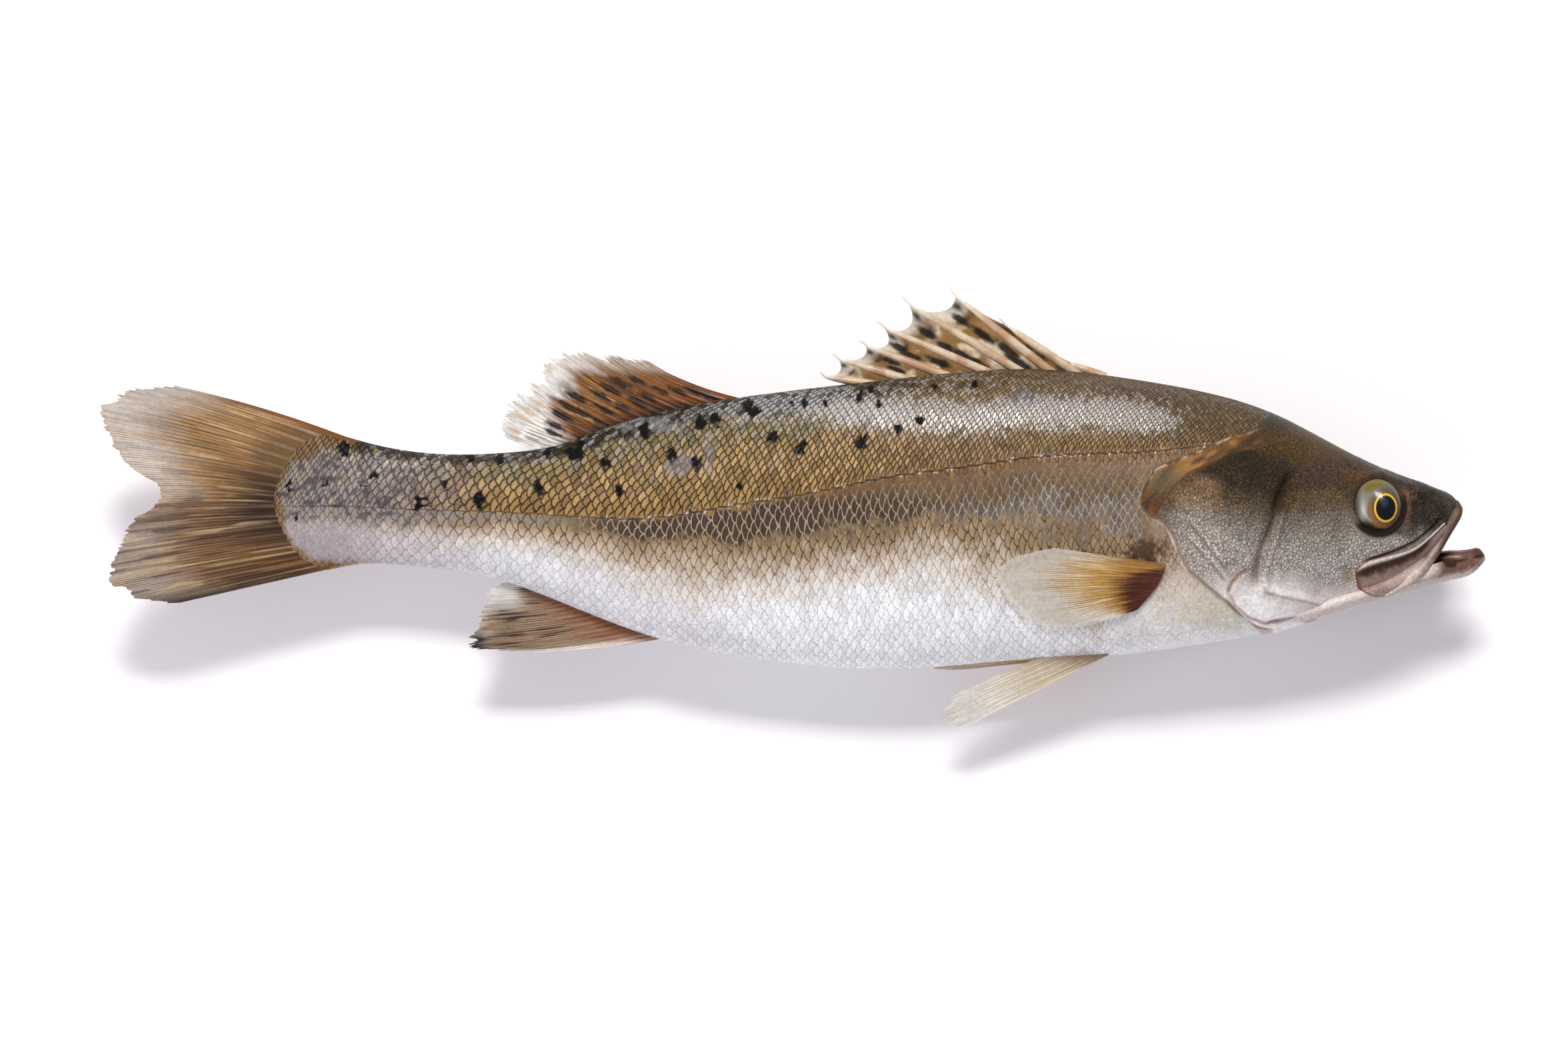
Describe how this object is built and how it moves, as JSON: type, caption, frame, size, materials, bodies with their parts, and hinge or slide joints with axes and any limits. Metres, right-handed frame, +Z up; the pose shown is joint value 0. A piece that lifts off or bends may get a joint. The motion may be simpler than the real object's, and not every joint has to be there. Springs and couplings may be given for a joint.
{
  "type": "whole raw fish",
  "caption": "Whole raw sea bass lying on its side, head and fins on, with a folded spiny back fin, forked tail and slightly open mouth.",
  "frame": {"origin": "middle of the outline, on the surface that the fish lies on", "axes": "+X towards the head, +Y towards the back, +Z up, out of the right flank"},
  "size_m": [0.6002, 0.1914, 0.0732],
  "materials": {
    "skin": "wet scaled fish skin, olive brown on the back, silver on the flank and white on the belly",
    "fin": "thin translucent fin skin over pale rays, tan to brown with dark spots",
    "eye": "clear wet eye with a golden ring round a black pupil"
  },
  "bodies": {
    "root": {"fish": "skin"}
  },
  "joints": []
}
